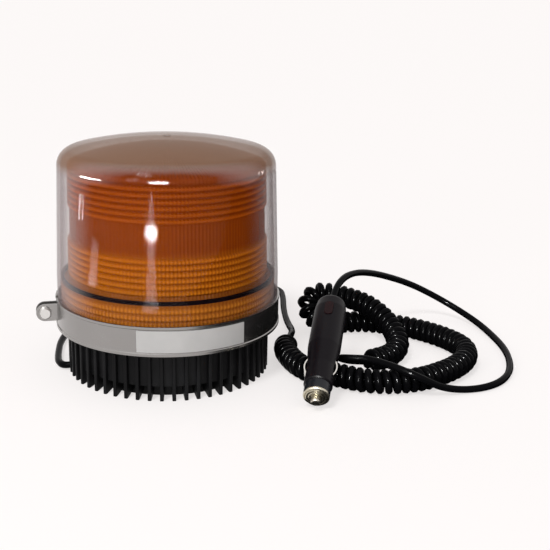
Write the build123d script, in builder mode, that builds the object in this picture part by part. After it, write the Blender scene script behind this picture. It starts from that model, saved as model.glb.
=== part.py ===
"""Magnetic-mount 12 V strobe beacon: a clear dome over a ribbed amber lens, a stainless clamp band,
a finned rubber boot round a holding magnet, and a curly cord that ends in a lighter-socket plug.

Millimetres. The origin is the centre of the resting face under the magnet and +Z is up.
"""

import math
import os

from build123d import *

# Boot and magnet
boot_height = 31.6
boot_wall_radius = 65.0
boot_wall = 3.4
boot_skin = 1.2
hub_radius = 57.3
hub_wall = 3.2
undercut_height = 9.0
fin_count = 54
fin_tip_radius = 67.6
fin_thickness = 2.4
fin_edge_round = 0.7
fin_root = 1.0
fin_turn = -0.9
fin_lift = 3.4
fin_toe = 1.2
magnet_gap = 3.3
magnet_bore_radius = 14.0
magnet_thickness = 10.0
plate_thickness = 3.0

# Base housing
fit_gap = 0.3
bore_gap = 0.1
housing_wall = 2.5
flange_height = 9.2
flange_gap = 0.4
gasket_thickness = 1.0
gasket_width = 7.0

# Dome and lens
dome_radius = 73.5
dome_draft = 2.9
dome_wall = 2.2
dome_straight = 24.0
dome_height = 114.3
dome_crown_rise = 9.5
dome_corner = 11.0
gate_radius = 2.2
gate_height = 0.6
lens_skirt_height = 21.6
lens_wall = 2.4
lens_waist_gap = 5.1
lens_shoulder_gap = 3.9
lens_top_gap = 2.6
lens_corner = 2.8
lens_crown_rise = 11.6
rib_depth = 1.3
skirt_rib_count = 4
skirt_rib_depth = 0.8
lower_rib_count = 6
upper_rib_count = 6
rib_margin = 3.6
lower_ribs_height = 24.0
smooth_height = 21.0
skirt_margin = 2.0
rib_rise = 0.35
rib_land = 0.7
ring_section = 2.2

# Clamp band
band_wall = 0.8
band_fit = 0.1
band_height = 19.0
band_bead_height = 1.6
band_bead_depth = 0.5
band_gap = 5.0
clamp_azimuth = 188.0
ear_reach = 13.4
ear_height = 11.5
ear_thickness = 1.2
clamp_screw_diameter = 4.0
clamp_head_diameter = 8.0
clamp_head_height = 2.6
clamp_head_bevel = 0.8
clamp_nut_width = 7.0
clamp_nut_height = 3.2
clamp_screw_spare = 3.0

# Electronics and flash tube
standoff_height = 4.0
standoff_radius = 3.0
standoff_circle = 46.0
standoff_count = 4
standoff_turn = 45.0
board_radius = 56.0
board_thickness = 1.6
deck_thickness = 1.5
transformer_x = -22.0
transformer_length = 27.0
transformer_width = 23.0
transformer_height = 16.5
winding_length = 17.0
winding_overhang = 2.6
capacitor_diameter = 16.0
capacitor_length = 36.0
capacitor_x = 26.0
capacitor_bevel = 1.0
trigger_coil_diameter = 10.0
trigger_coil_height = 12.0
trigger_coil_y = 36.0
holder_radius = 17.0
holder_height = 16.0
holder_taper = 8.0
tube_diameter = 6.0
tube_spread = 22.0
tube_leg = 34.0
electrode_length = 8.0
base_screw_diameter = 4.0
base_screw_head = 8.0
base_screw_head_height = 2.4
base_screw_circle = 34.0
base_screw_count = 3

# Cord
lead_diameter = 4.6
coil_diameter = 16.0
grommet_azimuth = 189.1
grommet_height = 4.4
grommet_diameter = 6.8
grommet_reach = 2.4
lead_tuck = 2.6
lead_straight = 5.0

# Plug, along its own axis from the front face of the ring cap
plug_nose = Vector(89.4, -87.0, 8.6)
plug_out = Vector(20.6, 75.0, 36.4).normalized()
plug_length = 85.87
plug_tail = plug_nose + plug_out * plug_length
plug_wall = 2.0
cap_radius = 8.4
cap_length = 9.0
cap_front = 1.2
nose_radius = 7.4
barrel_radius = 9.2
barrel_start = 10.2
cap_step = 0.8
shoulder_start = 25.0
shoulder_end = 42.0
grip_radius = 10.7
tail_radius = 9.4
tail_round = 4.0
tail_wall = 2.6
tail_taper = 9.87
grip_end = plug_length - tail_taper
grip_blend = 12.0
pin_radius = 3.0
pin_reach = 4.5
pin_gap = 0.05
pin_flange_radius = 4.6
pin_flange = 1.4
pin_travel = 2.5
fuse_radius = 3.2
fuse_length = 30.0
spring_length = 13.0
spring_radius = 3.0
spring_wire = 0.9
spring_turns = 4
contact_start = 14.8
contact_length = 18.0
contact_width = 6.0
contact_foot = 5.4
contact_strip = 0.8
contact_crown = 10.7
contact_hook = 2.0
cavity_radius = 7.2
indicator_set_back = 21.87
indicator_start = plug_length - indicator_set_back
indicator_length = 12.0
indicator_width = 5.6
indicator_proud = 0.5
indicator_depth = 3.0
screw_wall = 6.0
plug_screw_drop = 5.2
plug_screw_diameter = 2.6
plug_screw_head = 4.8
plug_screw_head_height = 1.6
plug_screw_seat = 7.0
plug_screw_tip = 6.5
sleeve_radius = 4.2
sleeve_reach = 2.4
sleeve_taper = 0.8
lead_anchor = 3.0
lead_rise = 12.0
cap_bevel = 1.2
pin_round = 1.4

# Heights of the stack, from the resting face up
magnet_foot = boot_skin
plate_foot = magnet_foot + magnet_thickness
housing_foot = plate_foot + plate_thickness
board_foot = housing_foot + housing_wall + standoff_height
board_top = board_foot + board_thickness
flange_foot = boot_height + flange_gap
flange_top = flange_foot + flange_height
dome_foot = flange_top + gasket_thickness
dome_top = dome_foot + dome_height
deck_top = flange_top + deck_thickness
waist_foot = dome_foot + lens_skirt_height
lens_top = dome_top - dome_wall - lens_top_gap
band_foot = flange_foot + flange_gap
band_middle = band_foot + band_height / 2

# Radii that follow from the fits
hub_bore = hub_radius - hub_wall
magnet_radius = hub_bore - magnet_gap
dome_shoulder_radius = dome_radius - dome_draft
lens_waist_radius = dome_radius - dome_wall - lens_waist_gap
lens_shoulder_radius = dome_shoulder_radius - dome_wall - lens_shoulder_gap
boot_bore = boot_wall_radius - boot_wall
housing_radius = boot_bore - fit_gap
skirt_radius = dome_radius - dome_wall - fit_gap
band_bore = dome_radius + band_fit
band_radius = band_bore + band_wall

# Hand-placed routes of the cord
grommet_out = Vector(1, 0, 0).rotate(Axis.Z, grommet_azimuth)
grommet_seat = grommet_out * hub_radius + Vector(0, 0, grommet_height)
lamp_lead_route = [
    grommet_seat - grommet_out * (hub_wall + lead_tuck),
    grommet_seat + grommet_out * lead_straight,
    Vector(-71.9, -11.9, 3.2),
    Vector(-75.4, -8.0, 2.6),
    Vector(-76.0, 6.0, 2.4),
    Vector(-76.2, 27.0, 2.4),
    Vector(-74.6, 52.0, 2.4),
    Vector(-67.0, 76.0, 2.4),
    Vector(-53.0, 99.0, 2.4),
    Vector(-33.0, 119.0, 2.4),
    Vector(-9.0, 135.0, 2.4),
    Vector(18.0, 149.5, 2.4),
    Vector(45.0, 160.0, 2.4),
    Vector(69.0, 166.5, 2.4),
    Vector(86.5, 164.5, 2.4),
    Vector(94.6, 151.0, 2.4),
    Vector(93.8, 131.0, 2.4),
    Vector(91.4, 108.0, 2.4),
    Vector(90.2, 84.0, 2.4),
    Vector(90.6, 64.0, 2.6),
    Vector(91.2, 48.5, 4.4),
    Vector(88.7, 32.0, 7.6),
    Vector(84.9, 18.4, 8.2),
]
coil_route = [
    Vector(84.9, 18.4, 8.2),
    Vector(79.7, 3.0, 8.2),
    Vector(80.9, -13.4, 8.2),
    Vector(84.5, -27.5, 8.2),
    Vector(90.5, -41.0, 8.2),
    Vector(101.5, -45.0, 8.2),
    Vector(112.5, -52.6, 8.2),
    Vector(125.5, -61.0, 8.2),
    Vector(141.0, -64.0, 8.2),
    Vector(157.5, -61.8, 8.2),
    Vector(173.5, -54.2, 8.2),
    Vector(192.7, -39.2, 8.2),
    Vector(204.1, -22.3, 8.2),
    Vector(207.1, -3.9, 8.2),
    Vector(200.6, 13.0, 8.2),
    Vector(189.7, 28.4, 8.2),
    Vector(176.3, 40.8, 8.2),
    Vector(159.9, 49.7, 8.2),
    Vector(143.0, 54.7, 8.2),
    Vector(130.0, 52.4, 8.2),
    Vector(117.0, 50.4, 8.8),
    Vector(107.2, 52.4, 11.6),
    Vector(102.4, 58.6, 20.4),
    Vector(109.2, 64.2, 28.2),
    Vector(121.4, 61.6, 28.6),
    Vector(134.0, 54.2, 27.2),
    Vector(144.6, 44.6, 25.6),
    Vector(152.6, 34.2, 22.0),
    Vector(158.2, 23.2, 17.4),
    Vector(161.0, 12.0, 13.2),
    Vector(160.8, 0.8, 10.2),
    Vector(156.8, -9.8, 8.6),
    Vector(149.0, -18.8, 8.2),
    Vector(138.1, -26.0, 8.4),
    Vector(129.2, -30.2, 9.6),
]
plug_lead_route = [
    Vector(129.2, -30.2, 9.6),
    Vector(118.6, -35.0, 12.2),
    Vector(111.8, -39.4, 15.6),
    Vector(112.2, -45.6, 18.4),
    Vector(118.8, -48.8, 19.2),
    Vector(127.0, -51.0, 19.6),
    Vector(135.6, -57.8, 19.6),
    Vector(143.8, -66.4, 19.2),
    Vector(152.4, -72.8, 17.2),
    Vector(162.4, -73.4, 12.6),
    Vector(174.0, -69.6, 6.0),
    Vector(188.4, -65.8, 2.4),
    Vector(203.4, -63.4, 2.4),
    Vector(217.9, -54.4, 2.4),
    Vector(229.4, -38.2, 2.4),
    Vector(237.0, -16.1, 2.4),
    Vector(241.0, 8.0, 2.4),
    Vector(240.8, 33.2, 2.4),
    Vector(236.8, 58.4, 4.0),
    Vector(225.5, 77.5, 9.0),
    Vector(208.0, 85.5, 18.0),
    Vector(188.0, 80.5, 29.0),
    Vector(168.0, 68.5, 38.6),
    Vector(150.0, 52.5, 47.0),
    Vector(134.5, 34.0, 53.0),
    Vector(122.0, 16.0, 54.6),
    plug_tail + plug_out * lead_rise,
    plug_tail - plug_out * (tail_wall + lead_anchor),
]


def corner_radii(route):
    """The arc at each corner of a route, as large as its two runs allow."""
    radii = []
    for before, corner, after in zip(route, route[1:], route[2:]):
        turn = math.radians((corner - before).get_angle(after - corner))
        shorter = min((corner - before).length, (after - corner).length)
        radii.append(0.45 * shorter / math.tan(turn / 2))
    return radii


def crown_arc(edge_radius, top, rise):
    """The low spherical crown of a bell, from its edge up to the axis."""
    sphere = (edge_radius**2 + rise**2) / (2 * rise)
    halfway = edge_radius / 2
    ThreePointArc(
        (edge_radius, top - rise),
        (halfway, top - sphere + math.sqrt(sphere**2 - halfway**2)),
        (0, top),
    )


def bell_section(foot, foot_radius, straight, shoulder_radius, top, crown_rise, corner):
    """Half section of a bell: an upright foot, a tapered wall, a rounded shoulder, a low crown."""
    with BuildSketch() as section:
        with BuildLine():
            Polyline(
                (0, top),
                (0, foot),
                (foot_radius, foot),
                (foot_radius, foot + straight),
                (shoulder_radius, top - crown_rise),
            )
            crown_arc(shoulder_radius, top, crown_rise)
        make_face()
        fillet(vertices().sort_by_distance((shoulder_radius, top - crown_rise, 0))[0], corner)
    return section.sketch


# ---------------------------------------------------------------- boot and magnet

with BuildPart() as finned_boot:
    with BuildSketch(Plane.XZ):
        with BuildLine():
            Polyline(
                (0, 0),
                (hub_radius, 0),
                (hub_radius, undercut_height),
                (boot_wall_radius, undercut_height),
                (boot_wall_radius, boot_height),
                (boot_bore, boot_height),
                (boot_bore, housing_foot),
                (hub_bore, housing_foot),
                (hub_bore, boot_skin),
                (0, boot_skin),
                close=True,
            )
        make_face()
    revolve(axis=Axis.Z)
    with BuildSketch(Plane.XY) as fin_ring:
        with PolarLocations(0, fin_count, start_angle=fin_turn):
            with Locations((fin_tip_radius, 0)):
                Rectangle(
                    fin_tip_radius - hub_radius + fin_root,
                    fin_thickness,
                    align=(Align.MAX, Align.CENTER),
                )
        tips = fin_ring.vertices().filter_by(lambda v: math.hypot(v.X, v.Y) > boot_wall_radius)
        fillet(tips, fin_edge_round)
    extrude(amount=boot_height)
    with BuildSketch(Plane.XZ):
        with BuildLine():
            Polyline(
                (hub_radius, 0),
                (fin_tip_radius - fin_toe, 0),
                (hub_radius, fin_lift),
                close=True,
            )
        make_face()
    revolve(axis=Axis.Z, mode=Mode.SUBTRACT)
    with BuildSketch(Plane.XY.offset(housing_foot)):
        Circle(boot_bore)
    extrude(amount=boot_height - housing_foot, mode=Mode.SUBTRACT)
    with BuildSketch(Plane(origin=grommet_seat, z_dir=grommet_out)):
        Circle(grommet_diameter / 2)
    extrude(amount=hub_wall + grommet_reach, both=True, mode=Mode.SUBTRACT)

with BuildPart() as holding_magnet:
    with BuildSketch(Plane.XY.offset(magnet_foot)):
        Circle(magnet_radius)
        Circle(magnet_bore_radius, mode=Mode.SUBTRACT)
    extrude(amount=magnet_thickness)

with BuildPart() as magnet_plate:
    with BuildSketch(Plane.XY.offset(plate_foot)):
        Circle(hub_bore - fit_gap)
        with PolarLocations(base_screw_circle, base_screw_count):
            Circle(base_screw_diameter / 2, mode=Mode.SUBTRACT)
    extrude(amount=plate_thickness)

# ---------------------------------------------------------------- base housing

with BuildPart() as base_housing:
    with BuildSketch(Plane.XZ):
        with BuildLine():
            Polyline(
                (0, housing_foot),
                (housing_radius, housing_foot),
                (housing_radius, flange_foot),
                (dome_radius, flange_foot),
                (dome_radius, flange_top),
                (housing_radius - housing_wall, flange_top),
                (housing_radius - housing_wall, housing_foot + housing_wall),
                (0, housing_foot + housing_wall),
                close=True,
            )
        make_face()
    revolve(axis=Axis.Z)
    with BuildSketch(Plane.XY.offset(housing_foot)):
        with PolarLocations(base_screw_circle, base_screw_count):
            Circle(base_screw_diameter / 2)
    extrude(amount=housing_wall, mode=Mode.SUBTRACT)

with BuildPart() as base_screws:
    with BuildSketch(Plane.XY.offset(housing_foot + housing_wall)):
        with PolarLocations(base_screw_circle, base_screw_count):
            Circle(base_screw_head / 2)
    extrude(amount=base_screw_head_height)
    with BuildSketch(Plane.XY.offset(housing_foot + housing_wall)):
        with PolarLocations(base_screw_circle, base_screw_count):
            Circle(base_screw_diameter / 2)
    extrude(amount=-(housing_wall + plate_thickness))

with BuildPart() as flange_gasket:
    with BuildSketch(Plane.XY.offset(flange_top)):
        Circle(dome_radius)
        Circle(dome_radius - gasket_width, mode=Mode.SUBTRACT)
    extrude(amount=gasket_thickness)

with BuildPart() as cord_grommet:
    with BuildSketch(Plane(origin=grommet_seat, z_dir=grommet_out)):
        Circle(grommet_diameter / 2)
        Circle(lead_diameter / 2 + bore_gap, mode=Mode.SUBTRACT)
    extrude(amount=-(hub_wall + grommet_reach - fit_gap))

# ---------------------------------------------------------------- electronics and flash tube

with BuildPart() as board_standoffs:
    with BuildSketch(Plane.XY.offset(housing_foot + housing_wall)):
        with PolarLocations(standoff_circle, standoff_count, start_angle=standoff_turn):
            RegularPolygon(standoff_radius, 6)
    extrude(amount=standoff_height)

with BuildPart() as circuit_board:
    with BuildSketch(Plane.XY.offset(board_foot)):
        Circle(board_radius)
    extrude(amount=board_thickness)

with BuildPart() as transformer:
    with BuildSketch(Plane.XY.offset(board_top)):
        with Locations((transformer_x, 0)):
            Rectangle(transformer_length, transformer_width)
    extrude(amount=transformer_height)
    with BuildSketch(Plane.XY.offset(board_top + winding_overhang)):
        with Locations((transformer_x, 0)):
            Rectangle(winding_length, transformer_width + 2 * winding_overhang)
    extrude(amount=transformer_height - 2 * winding_overhang)

capacitor_axis = Plane(
    origin=(capacitor_x, -capacitor_length / 2, board_top + capacitor_diameter / 2),
    z_dir=(0, 1, 0),
)
with BuildPart() as flash_capacitor:
    with BuildSketch(capacitor_axis):
        Circle(capacitor_diameter / 2)
    extrude(amount=capacitor_length)
    chamfer(flash_capacitor.edges().filter_by(GeomType.CIRCLE), capacitor_bevel)

with BuildPart() as trigger_coil:
    with BuildSketch(Plane.XY.offset(board_top)):
        with Locations((0, trigger_coil_y)):
            Circle(trigger_coil_diameter / 2)
    extrude(amount=trigger_coil_height)

with BuildPart() as deck_plate:
    with BuildSketch(Plane.XY.offset(flange_top)):
        Circle(dome_radius - gasket_width - fit_gap)
    extrude(amount=deck_thickness)

with BuildPart() as tube_holder:
    with BuildSketch(Plane.XY.offset(deck_top)):
        Circle(holder_radius)
    extrude(amount=holder_height, taper=holder_taper)
    with BuildSketch(Plane.XY.offset(deck_top + holder_height)):
        with Locations((-tube_spread / 2, 0), (tube_spread / 2, 0)):
            Circle(tube_diameter / 2 + fit_gap / 2)
    extrude(amount=-electrode_length, mode=Mode.SUBTRACT)

tube_foot = deck_top + holder_height - electrode_length
tube_shoulder = tube_foot + electrode_length + tube_leg
with BuildPart() as flash_tube:
    with BuildLine() as tube_centre:
        Line((-tube_spread / 2, 0, tube_foot), (-tube_spread / 2, 0, tube_shoulder))
        ThreePointArc(
            (-tube_spread / 2, 0, tube_shoulder),
            (0, 0, tube_shoulder + tube_spread / 2),
            (tube_spread / 2, 0, tube_shoulder),
        )
        Line((tube_spread / 2, 0, tube_shoulder), (tube_spread / 2, 0, tube_foot))
    with BuildSketch(Plane(origin=(-tube_spread / 2, 0, tube_foot), z_dir=(0, 0, 1))):
        Circle(tube_diameter / 2)
    sweep(path=tube_centre.line)

# ---------------------------------------------------------------- amber lens, ring and clear dome


def sawtooth(foot, top, low_radius, high_radius, count, depth):
    """Points of a ribbed wall from foot to top: each rib swells outward and steps back in."""
    points = []
    pitch = (top - foot) / count
    for rib in range(count):
        share = rib / count
        radius = low_radius + (high_radius - low_radius) * share
        points.append((radius - depth, foot + rib * pitch))
        points.append((radius, foot + rib * pitch + rib_rise * pitch))
        points.append((radius, foot + rib * pitch + rib_land * pitch))
    points.append((high_radius - depth, top))
    return points


skirt_ribs_foot = dome_foot + skirt_margin
skirt_ribs_top = waist_foot - skirt_margin
lower_ribs_foot = waist_foot + rib_margin
lower_ribs_top = lower_ribs_foot + lower_ribs_height
upper_ribs_foot = lower_ribs_top + smooth_height
lens_edge = lens_top - lens_crown_rise
upper_ribs_top = lens_edge - lens_corner - rib_depth


def wall_radius(height):
    """Radius of the amber lens's tapered wall at a height."""
    share = (height - waist_foot) / (lens_edge - waist_foot)
    return lens_waist_radius + (lens_shoulder_radius - lens_waist_radius) * share


with BuildPart() as amber_lens:
    with BuildSketch(Plane.XZ):
        with BuildLine():
            Polyline(
                (0, lens_top),
                (0, dome_foot),
                (skirt_radius, dome_foot),
                *sawtooth(
                    skirt_ribs_foot,
                    skirt_ribs_top,
                    skirt_radius,
                    skirt_radius,
                    skirt_rib_count,
                    skirt_rib_depth,
                ),
                (skirt_radius, waist_foot),
                (wall_radius(waist_foot), waist_foot),
                *sawtooth(
                    lower_ribs_foot,
                    lower_ribs_top,
                    wall_radius(lower_ribs_foot),
                    wall_radius(lower_ribs_top),
                    lower_rib_count,
                    rib_depth,
                ),
                *sawtooth(
                    upper_ribs_foot,
                    upper_ribs_top,
                    wall_radius(upper_ribs_foot),
                    wall_radius(upper_ribs_top),
                    upper_rib_count,
                    rib_depth,
                ),
                (lens_shoulder_radius, upper_ribs_top + rib_depth),
                (lens_shoulder_radius, lens_edge),
            )
            crown_arc(lens_shoulder_radius, lens_top, lens_crown_rise)
        make_face()
        fillet(vertices().sort_by_distance((lens_shoulder_radius, lens_edge, 0))[0], lens_corner)
    revolve(axis=Axis.Z)
    with BuildSketch(Plane.XZ):
        with Locations((0, dome_foot)):
            Rectangle(
                skirt_radius - lens_wall,
                lens_skirt_height - lens_wall,
                align=(Align.MIN, Align.MIN),
            )
    revolve(axis=Axis.Z, mode=Mode.SUBTRACT)
    with BuildSketch(Plane.XZ):
        add(
            bell_section(
                dome_foot,
                lens_waist_radius - rib_depth - lens_wall,
                lens_skirt_height,
                lens_shoulder_radius - rib_depth - lens_wall,
                lens_top - lens_wall,
                lens_crown_rise,
                lens_corner - lens_wall,
            )
        )
    revolve(axis=Axis.Z, mode=Mode.SUBTRACT)

ring_middle = waist_foot + ring_section / 2
with BuildPart() as lens_ring:
    with BuildSketch(Plane.XZ):
        with Locations((skirt_radius - ring_section / 2, ring_middle)):
            Rectangle(ring_section, ring_section)
    revolve(axis=Axis.Z)

with BuildPart() as clear_dome:
    with BuildSketch(Plane.XZ):
        add(
            bell_section(
                dome_foot,
                dome_radius,
                dome_straight,
                dome_shoulder_radius,
                dome_top,
                dome_crown_rise,
                dome_corner,
            )
        )
    revolve(axis=Axis.Z)
    with BuildSketch(Plane.XZ):
        add(
            bell_section(
                dome_foot,
                dome_radius - dome_wall,
                dome_straight,
                dome_shoulder_radius - dome_wall,
                dome_top - dome_wall,
                dome_crown_rise,
                dome_corner - dome_wall,
            )
        )
    revolve(axis=Axis.Z, mode=Mode.SUBTRACT)
    with BuildSketch(Plane.XY.offset(dome_top - dome_wall / 2)):
        Circle(gate_radius)
    extrude(amount=dome_wall / 2 + gate_height)

# ---------------------------------------------------------------- clamp band with its ears and screw

clamp_out = Vector(1, 0, 0).rotate(Axis.Z, clamp_azimuth)
clamp_plane = Plane(
    origin=(0, 0, band_middle),
    x_dir=clamp_out,
    z_dir=clamp_out.cross(Vector(0, 0, 1)),
)
ear_side = band_gap / 2
screw_reach = band_radius + ear_reach - ear_height / 2
with BuildPart() as clamp_band:
    with BuildSketch(Plane.XZ):
        with BuildLine():
            Polyline(
                (band_bore, band_foot),
                (band_radius + band_bead_depth, band_foot),
                (band_radius + band_bead_depth, band_foot + band_bead_height),
                (band_radius, band_foot + band_bead_height + band_bead_depth),
                (band_radius, band_foot + band_height - band_bead_height - band_bead_depth),
                (band_radius + band_bead_depth, band_foot + band_height - band_bead_height),
                (band_radius + band_bead_depth, band_foot + band_height),
                (band_bore, band_foot + band_height),
                close=True,
            )
        make_face()
    revolve(axis=Axis.Z)
    with BuildSketch(clamp_plane):
        with Locations((band_radius, 0)):
            Rectangle(ear_height, 2 * band_height)
    extrude(amount=ear_side, both=True, mode=Mode.SUBTRACT)
    for side in (ear_side, -ear_side - ear_thickness):
        with BuildSketch(clamp_plane.offset(side)):
            with Locations((screw_reach, 0)):
                Rectangle(screw_reach - band_bore, ear_height, align=(Align.MAX, Align.CENTER))
            with Locations((screw_reach, 0)):
                Circle(ear_height / 2)
                Circle(clamp_screw_diameter / 2 + bore_gap, mode=Mode.SUBTRACT)
        extrude(amount=ear_thickness)

with BuildPart() as clamp_screw:
    with BuildSketch(clamp_plane.offset(-ear_side - ear_thickness)):
        with Locations((screw_reach, 0)):
            Circle(clamp_head_diameter / 2)
    extrude(amount=-clamp_head_height)
    head_rim = edges().filter_by(GeomType.CIRCLE).sort_by(clamp_plane.location.z_axis)[0]
    chamfer(head_rim, clamp_head_bevel)
    with BuildSketch(clamp_plane.offset(-ear_side - ear_thickness)):
        with Locations((screw_reach, 0)):
            Circle(clamp_screw_diameter / 2)
    extrude(amount=2 * ear_side + 2 * ear_thickness + clamp_nut_height + clamp_screw_spare)

with BuildPart() as clamp_nut:
    with BuildSketch(clamp_plane.offset(ear_side + ear_thickness)):
        with Locations((screw_reach, 0)):
            RegularPolygon(clamp_nut_width / 2, 6, major_radius=False)
            Circle(clamp_screw_diameter / 2 + bore_gap, mode=Mode.SUBTRACT)
    extrude(amount=clamp_nut_height)

# ---------------------------------------------------------------- cord

with BuildPart() as lamp_lead:
    with BuildLine() as lamp_lead_line:
        FilletPolyline(*lamp_lead_route, radius=corner_radii(lamp_lead_route))
    with BuildSketch(Plane(origin=lamp_lead_line.line @ 0, z_dir=lamp_lead_line.line % 0)):
        Circle(lead_diameter / 2)
    sweep(path=lamp_lead_line.line)

with BuildPart() as coiled_cord:
    with BuildLine() as coil_line:
        FilletPolyline(*coil_route, radius=corner_radii(coil_route))
    with BuildSketch(Plane(origin=coil_line.line @ 0, z_dir=coil_line.line % 0)):
        Circle(coil_diameter / 2)
    sweep(path=coil_line.line)

with BuildPart() as plug_lead:
    with BuildLine() as plug_lead_line:
        FilletPolyline(*plug_lead_route, radius=corner_radii(plug_lead_route))
    with BuildSketch(Plane(origin=plug_lead_line.line @ 0, z_dir=plug_lead_line.line % 0)):
        Circle(lead_diameter / 2)
    sweep(path=plug_lead_line.line)

# ---------------------------------------------------------------- plug

plug_left = plug_out.cross(Vector(0, 0, -1)).normalized()
plug_up = plug_out.cross(plug_left)
plug_cross = Plane(origin=plug_nose, x_dir=plug_left, z_dir=plug_out)
plug_half = Plane(origin=plug_nose, x_dir=plug_up, z_dir=plug_up.cross(plug_out))
plug_axis = Axis(plug_nose, plug_out)
fuse_start = cap_front + pin_flange
spring_start = fuse_start + fuse_length
spring_stop = spring_start + spring_length
cavity_end = plug_length - tail_wall


def plug_shell_section():
    """Half section of the plug's shell, along the plug's axis."""
    with BuildSketch() as section:
        with BuildLine():
            Polyline(
                (0, cap_front),
                (nose_radius, cap_front),
                (nose_radius, barrel_start - cap_step),
                (barrel_radius - cap_step, barrel_start - cap_step),
                (barrel_radius, barrel_start),
                (barrel_radius, shoulder_start),
                (grip_radius, shoulder_end),
                (grip_radius, grip_end),
                (tail_radius, plug_length),
                (0, plug_length),
                close=True,
            )
        make_face()
        fillet(vertices().sort_by_distance((tail_radius, plug_length, 0))[0], tail_round)
        fillet(vertices().sort_by_distance((grip_radius, shoulder_end, 0))[0], grip_blend)
        fillet(vertices().sort_by_distance((grip_radius, grip_end, 0))[0], grip_blend)
    return section.sketch


def plug_cavity_section():
    """Half section of the hollow inside the plug: pin and fuse bore, spring stop, rear chamber."""
    with BuildSketch() as section:
        with BuildLine():
            Polyline(
                (0, cap_front),
                (pin_flange_radius + fit_gap, cap_front),
                (pin_flange_radius + fit_gap, fuse_start + pin_travel + fit_gap),
                (fuse_radius + fit_gap, fuse_start + pin_travel + fit_gap),
                (fuse_radius + fit_gap, contact_start - contact_hook - fit_gap),
                (cavity_radius, contact_start - contact_hook - fit_gap),
                (cavity_radius, contact_start + contact_length + contact_hook + fit_gap),
                (fuse_radius + fit_gap, contact_start + contact_length + contact_hook + fit_gap),
                (fuse_radius + fit_gap, spring_stop),
                (lead_diameter / 2 + bore_gap, spring_stop),
                (lead_diameter / 2 + bore_gap, spring_stop + screw_wall),
                (grip_radius - plug_wall, spring_stop + screw_wall),
                (grip_radius - plug_wall, grip_end),
                (tail_radius - plug_wall, cavity_end),
                (sleeve_radius, cavity_end),
                (sleeve_radius, plug_length),
                (0, plug_length),
                close=True,
            )
        make_face()
    return section.sketch


def plug_point(along, across=0.0, up=0.0):
    """A point of the plug: along its axis from the ring cap, to its left, and above its axis."""
    return plug_nose + plug_out * along + plug_left * across + plug_up * up


contact_middle = contact_start + contact_length / 2
indicator_middle = indicator_start + indicator_length / 2
indicator_plane = Plane(
    origin=plug_point(indicator_middle, up=grip_radius + indicator_proud - indicator_depth),
    x_dir=plug_out,
    z_dir=plug_up,
)
screw_plane = Plane(
    origin=plug_point(spring_stop + screw_wall / 2, up=-plug_screw_drop),
    x_dir=plug_out,
    z_dir=-plug_left,
)


def plug_half_shell():
    """The right half of the plug's shell, before its screw holes."""
    with BuildPart() as half:
        with BuildSketch(plug_half):
            add(plug_shell_section())
        revolve(axis=plug_axis, revolution_arc=180)
        with BuildSketch(plug_half):
            add(plug_cavity_section())
        revolve(axis=plug_axis, revolution_arc=180, mode=Mode.SUBTRACT)
        with BuildSketch(Plane(origin=plug_point(contact_middle), x_dir=plug_out, z_dir=-plug_left)):
            Rectangle(contact_length, contact_width + 2 * fit_gap)
        extrude(amount=grip_radius, mode=Mode.SUBTRACT)
        with BuildSketch(indicator_plane):
            SlotOverall(indicator_length + 2 * bore_gap, indicator_width + 2 * bore_gap)
        extrude(amount=indicator_depth, mode=Mode.SUBTRACT)
    return half.part


with BuildPart() as plug_shell_right:
    add(plug_half_shell())
    with BuildSketch(screw_plane):
        Circle(plug_screw_diameter / 2 + bore_gap)
    extrude(amount=grip_radius, mode=Mode.SUBTRACT)
    with BuildSketch(screw_plane.offset(plug_screw_seat)):
        Circle(plug_screw_head / 2 + bore_gap)
    extrude(amount=grip_radius, mode=Mode.SUBTRACT)

with BuildPart() as plug_shell_left:
    mirror(plug_half_shell(), about=plug_half)
    with BuildSketch(screw_plane):
        Circle(plug_screw_diameter / 2)
    extrude(amount=-plug_screw_tip, mode=Mode.SUBTRACT)

with BuildPart() as plug_screw:
    with BuildSketch(screw_plane.offset(plug_screw_seat)):
        Circle(plug_screw_head / 2)
    extrude(amount=plug_screw_head_height)
    with BuildSketch(screw_plane.offset(-plug_screw_tip)):
        Circle(plug_screw_diameter / 2)
    extrude(amount=plug_screw_tip + plug_screw_seat)

with BuildPart() as plug_ring_cap:
    with BuildSketch(plug_half):
        with BuildLine():
            Polyline(
                (pin_radius + pin_gap, 0),
                (cap_radius - cap_bevel, 0),
                (cap_radius, cap_bevel),
                (cap_radius, cap_length),
                (nose_radius + bore_gap, cap_length),
                (nose_radius + bore_gap, cap_front),
                (pin_radius + pin_gap, cap_front),
                close=True,
            )
        make_face()
    revolve(axis=plug_axis)

with BuildPart() as plug_tip_pin:
    with BuildSketch(plug_half):
        with BuildLine():
            Polyline(
                (0, -pin_reach),
                (pin_radius, -pin_reach),
                (pin_radius, cap_front),
                (pin_flange_radius, cap_front),
                (pin_flange_radius, fuse_start),
                (0, fuse_start),
                close=True,
            )
        make_face()
        fillet(vertices().sort_by_distance((pin_radius, -pin_reach, 0))[0], pin_round)
    revolve(axis=plug_axis)

with BuildPart() as plug_fuse:
    with BuildSketch(plug_cross.offset(fuse_start)):
        Circle(fuse_radius)
    extrude(amount=fuse_length)

with BuildPart() as fuse_spring:
    with BuildLine() as spring_centre:
        Helix(
            pitch=(spring_length - spring_wire) / spring_turns,
            height=spring_length - spring_wire,
            radius=spring_radius - spring_wire / 2,
            center=plug_point(spring_start + spring_wire / 2),
            direction=plug_out,
        )
    with BuildSketch(Plane(origin=spring_centre.line @ 0, z_dir=spring_centre.line % 0)):
        Circle(spring_wire / 2)
    sweep(path=spring_centre.line)


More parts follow.
